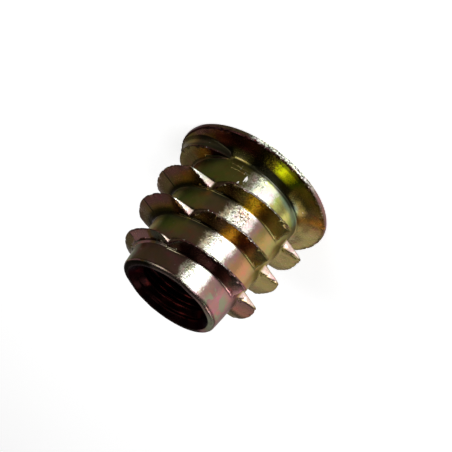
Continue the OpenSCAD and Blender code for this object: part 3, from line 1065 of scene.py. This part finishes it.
def add_end_walls(n, film):
    """The end walls of the notches, pale with a painted reflection, and dark with painted shade at the
    front ridges' east ends.
    """
    west_corner = math.radians(-CORNER_WEST - 0.5), math.radians(-CORNER_WEST + 0.5)
    west_end = n.product(n.remap(n.angle, *west_corner), n.remap(n.angle, -0.3, -0.5, 0.0, 0.85))
    wall = n.product(n.mask("end_wall"), n.math("SUBTRACT", 1.0, west_end))
    # Painted shade: the east end walls of the front ridges turn dark.
    east_corner = math.radians(CORNER_EAST + 1.5), math.radians(CORNER_EAST - 0.5)
    front_side = n.product(n.remap(n.angle, *east_corner), n.remap(n.angle, 0.3, 0.4))
    # Painted reflection: the other end walls are pale, where they show the white floor, greyer in the
    # west and pinker by the east corner.
    pale = n.mix(n.remap(n.speck, 0.40, 0.60), DULL_SILVER, SILVER)
    greyer = n.product(n.remap(n.angle, -1.25, -1.15, 0.0, 0.28), n.remap(n.angle, -0.8, -0.9))
    pale = n.mix(greyer, pale, SMOKE)
    pink_share = n.remap(n.angle, math.radians(50), math.radians(43), 0.0, 0.45)
    pale = n.mix(pink_share, pale, PINK)
    return n.mix(wall, film, n.mix(front_side, pale, DUSK))


def add_edges(n, film):
    """Painted shade along the sharp edges, worn chips painted as glints at the front, and painted
    shade at the ridges' feet.
    """
    edge = n.mask("edge")
    # Painted shade: dark lines along the sharp edges, in noisy lengths, weaker in the west and at the
    # back.
    dark_edge = n.product(edge, n.remap(n.speck, 0.66, 0.54))
    dark_edge = n.product(dark_edge, n.remap(n.angle, -0.45, -0.15, 0.55, 1.0))
    dark_edge = n.product(dark_edge, n.remap(n.angle, 2.7, 2.0, 0.55, 1.0))
    film = n.mix(dark_edge, film, BLACK_RED)
    # Worn chips and painted glints: bright spots on the edges, only at the front.
    sparkle = n.product(edge, n.remap(n.speck, 0.62, 0.68))
    sparkle = n.product(sparkle, n.within(n.angle, -0.9, -0.7, 0.4, 0.6))
    film = n.mix(sparkle, film, SILVER)
    # Painted shade: in the east the feet of the ridges turn nearly black, less towards the tip.
    eastwards = n.product(n.remap(n.angle, 0.10, 0.25), n.before_back)
    foot = n.product(n.mask("foot"), eastwards)
    foot = n.product(foot, n.remap(n.z, 10.5, 11.5, 1.0, 0.3))
    return n.mix(n.product(foot, n.remap(n.angle, 0.75, 0.9, 0.92, 0.7)), film, INK)


def add_blotches(n, film):
    """Uneven tints of the film, the grey-green patches by the tip and the parting line."""
    tint = n.ramp(n.noise(n.place, 1.3, detail=3.0, roughness=0.65), BLOTCH_TINTS)
    film = n.mix(0.85, film, tint, "MULTIPLY")
    patch = n.remap(n.noise(n.place, 0.9, detail=3.0, roughness=0.6, distortion=0.4), 0.47, 0.53)
    near_tip = n.product(n.remap(n.z, 12.2, 13.2), n.remap(n.angle, -0.3, -0.45))
    near_tip = n.product(near_tip, n.remap(n.angle, -1.5, -1.1))
    film = n.mix(n.product(patch, near_tip, 0.8), film, GREY_GREEN)
    seam = n.remap(n.math("ABSOLUTE", n.y), 0.10, 0.05)
    seam = n.product(seam, n.remap(n.radius, 6.0, 6.3), n.remap(n.x, 5.0, 5.5))
    seam = n.product(seam, n.remap(n.z, 2.2, 2.5))
    return n.mix(seam, film, INK)


def add_marks(n, film, wrinkle, rough_skin, second_gap):
    """Bright nicks, dark pits and veins where the casting's skin is rough, and scratches."""
    nick = n.remap(n.noise(n.place, 4.2, detail=2.0, roughness=0.6), 0.74, 0.79)
    film = n.mix(n.product(nick, 0.6), film, SILVER)
    vein = n.distance(n.noise(n.place, 1.7, detail=2.0, roughness=0.55, distortion=1.2), 0.5)
    vein = n.math("SUBTRACT", vein, n.product(second_gap, 0.015))
    pit = n.product(n.remap(vein, 0.030, 0.010), n.remap(n.speck, 0.40, 0.52))
    film = n.mix(n.product(pit, rough_skin), film, DUSK)
    # The painted highlight between the two lower front ridges is toned down and towards pink, most in
    # the wrinkles.
    pinkish = n.product(n.remap(wrinkle, 1.0, 0.5, 0.35, 1.0), n.remap(n.angle, -0.22, -0.14))
    pinkish = n.product(pinkish, second_gap, n.remap(n.angle, 0.18, 0.10))
    film = n.mix(pinkish, film, SECOND_GAP_HIGHLIGHT_TINT, "MULTIPLY")
    # Short scratches run along the neck beside its highlight.
    stretched = n.new("ShaderNodeCombineXYZ")
    n.feed(n.product(n.angle, 20.0), stretched.inputs["X"])
    n.feed(n.product(n.z, 0.8), stretched.inputs["Y"])
    streak = n.remap(n.noise(stretched.outputs[0], 1.0, detail=1.0), 0.60, 0.64)
    on_neck = n.within(n.z, 2.2, 2.4, 3.6, 4.0)
    beside = n.product(n.within(n.angle, 0.30, 0.34, 0.50, 0.54), on_neck)
    return n.mix(n.product(streak, beside), film, SILVER)


def add_bore(n, film):
    """The bore, nearly black with painted shade and a faint painted reddish glow."""
    # Painted shade: inside the bore the colour is nearly black, with a painted reddish glow in patches
    # on the thread's crests.
    inside = n.product(n.remap(n.radius, 4.62, 4.5), n.remap(n.z, 0.1, 0.4))
    glow = n.remap(n.noise(n.place, 0.8), 0.45, 0.7)
    glow = n.product(glow, n.remap(n.radius, 4.1, 3.9, 0.25, 1.0))
    return n.mix(inside, film, n.mix(glow, BORE_PAINTED_SHADE, BORE_PAINTED_GLOW))


def metal_material():
    material = bpy.data.materials.new("chromated_zinc")
    n = Metal(material)
    wrinkle = n.noise(n.place, 3.2, detail=2.0, roughness=0.65, distortion=0.6)
    wrinkle = n.remap(n.distance(wrinkle, 0.5), 0.0, 0.05, 0.35, 1.0)
    second_gap = n.within(n.z, 5.4, 5.8, 8.2, 8.6)
    turned = n.sum(n.angle, n.product(second_gap, 0.12))
    rough_skin = n.product(n.remap(turned, -0.02, 0.06), n.remap(n.angle, 0.32, 0.24))

    film = n.mix(n.facing, barrel_colour(n), flank_colour(n, wrinkle))
    film = add_flange(n, film)
    film = add_end_walls(n, film)
    film = add_edges(n, film)
    film = add_blotches(n, film)
    film = add_marks(n, film, wrinkle, rough_skin, second_gap)
    film = add_bore(n, film)
    n.feed(film, n.shader.inputs["Base Color"])
    n.shader.inputs["Metallic"].default_value = 1.0
    n.shader.inputs["Specular Tint"].default_value = EDGE_REFLECTION

    grain = n.noise(n.place, 9.0, detail=3.0, roughness=0.65)
    rough = n.remap(grain, 0.3, 0.7, SMOOTHEST, ROUGHEST)
    on_barrel = n.math("SUBTRACT", 1.0, n.facing)
    n.feed(n.sum(rough, n.product(on_barrel, BARREL_ROUGHER)), n.shader.inputs["Roughness"])

    # Fine grain everywhere, and a coarser unevenness on the front flanks and the rough skin.
    peel = n.noise(n.place, 4.4, detail=2.0, roughness=0.6)
    glints = n.product(n.remap(n.angle, -0.5, -0.25), n.remap(n.angle, 0.5, 0.3))
    lumpy = n.math("MAXIMUM", n.product(n.facing, glints, 0.3), rough_skin)
    fine = n.bump(grain, GRAIN_STRENGTH, GRAIN_DEPTH)
    coarse = n.bump(peel, n.sum(n.product(lumpy, 0.6), 0.08), PEEL_DEPTH)
    n.feed(fine.outputs["Normal"], coarse.inputs["Normal"])
    n.feed(coarse.outputs["Normal"], n.shader.inputs["Normal"])
    return material


metal = metal_material()
for piece in PIECES:
    piece.data.materials.append(metal)

# ------------ floor and light
FLOOR = 3.0
FLOOR_WHITE = (0.9, 0.9, 0.9, 1)
FLOOR_GLOW = 0.65
# Height of the part's middle above the floor, at which the lamps are aimed, in metres.
AIM = Vector((0, 0, BODY_LENGTH / 2 * MM))
# Height in the surroundings and their brightness there.
HORIZON = (0.1, 0.28)
ZENITH = (0.9, 0.06)


def floor_material():
    """Matt white, with a pale glow of its own where a camera, mirror or lens looks at it."""
    material = bpy.data.materials.new("floor")
    n = Nodes(material)
    n.shader.inputs["Base Color"].default_value = FLOOR_WHITE
    n.shader.inputs["Roughness"].default_value = 1.0
    n.shader.inputs["Specular IOR Level"].default_value = 0.0
    rays = n.new("ShaderNodeLightPath")
    seen = n.math("MAXIMUM", rays.outputs["Is Camera Ray"], rays.outputs["Is Glossy Ray"])
    seen = n.math("MAXIMUM", seen, rays.outputs["Is Transmission Ray"])
    glow = n.new("ShaderNodeEmission")
    n.feed(n.product(seen, FLOOR_GLOW), glow.inputs["Color"])
    blend = n.new("ShaderNodeAddShader")
    n.feed(n.shader.outputs[0], blend.inputs[0])
    n.feed(glow.outputs[0], blend.inputs[1])
    n.feed(blend.outputs[0], n.tree.nodes["Material Output"].inputs["Surface"])
    return material


floor_mesh = bpy.data.meshes.new("floor")
floor_corners = [(x * FLOOR, y * FLOOR, 0) for x, y in ((-1, -1), (1, -1), (1, 1), (-1, 1))]
floor_mesh.from_pydata(floor_corners, [], [(0, 1, 2, 3)])
floor = bpy.data.objects.new("floor", floor_mesh)
bpy.context.scene.collection.objects.link(floor)
floor_mesh.materials.append(floor_material())


def softbox(name, azimuth, elevation, distance, width, height, radiance):
    """A rectangular lamp that faces the part from a direction given in degrees."""
    a, e = math.radians(azimuth), math.radians(elevation)
    direction = Vector((math.sin(a) * math.cos(e), -math.cos(a) * math.cos(e), math.sin(e)))
    place = direction * distance
    data = bpy.data.lights.new(name, "AREA")
    data.shape = "RECTANGLE"
    data.size = width
    data.size_y = height
    data.energy = radiance * math.pi * width * height
    lamp = bpy.data.objects.new(name, data)
    bpy.context.scene.collection.objects.link(lamp)
    turned = (place - AIM).to_track_quat("Z", "Y").to_matrix().to_4x4()
    lamp.matrix_world = Matrix.Translation(place) @ turned


softbox("key_low", -12, 4.5, 0.35, 0.14, 0.05, 26)
softbox("side_west", -105, 42, 0.4, 0.16, 0.10, 3)
softbox("side_east", 62, 42, 0.35, 0.22, 0.16, 2.8)
softbox("front_high", -21, 51, 0.35, 0.16, 0.09, 4)
softbox("back_low", -148, 22, 0.4, 0.30, 0.14, 0.5)


def studio_world():
    """Dim surroundings, a little lighter near the horizon."""
    world = bpy.data.worlds.new("world")
    bpy.context.scene.world = world
    world.use_nodes = True
    tree = world.node_tree
    height = tree.nodes.new("ShaderNodeSeparateXYZ")
    tree.links.new(tree.nodes.new("ShaderNodeTexCoord").outputs["Generated"], height.inputs[0])
    shade = tree.nodes.new("ShaderNodeMapRange")
    tree.links.new(height.outputs["Z"], shade.inputs["Value"])
    shade.inputs["From Min"].default_value, shade.inputs["To Min"].default_value = HORIZON
    shade.inputs["From Max"].default_value, shade.inputs["To Max"].default_value = ZENITH
    tree.links.new(shade.outputs["Result"], tree.nodes["Background"].inputs["Color"])


studio_world()
bpy.context.scene.view_settings.view_transform = "Standard"
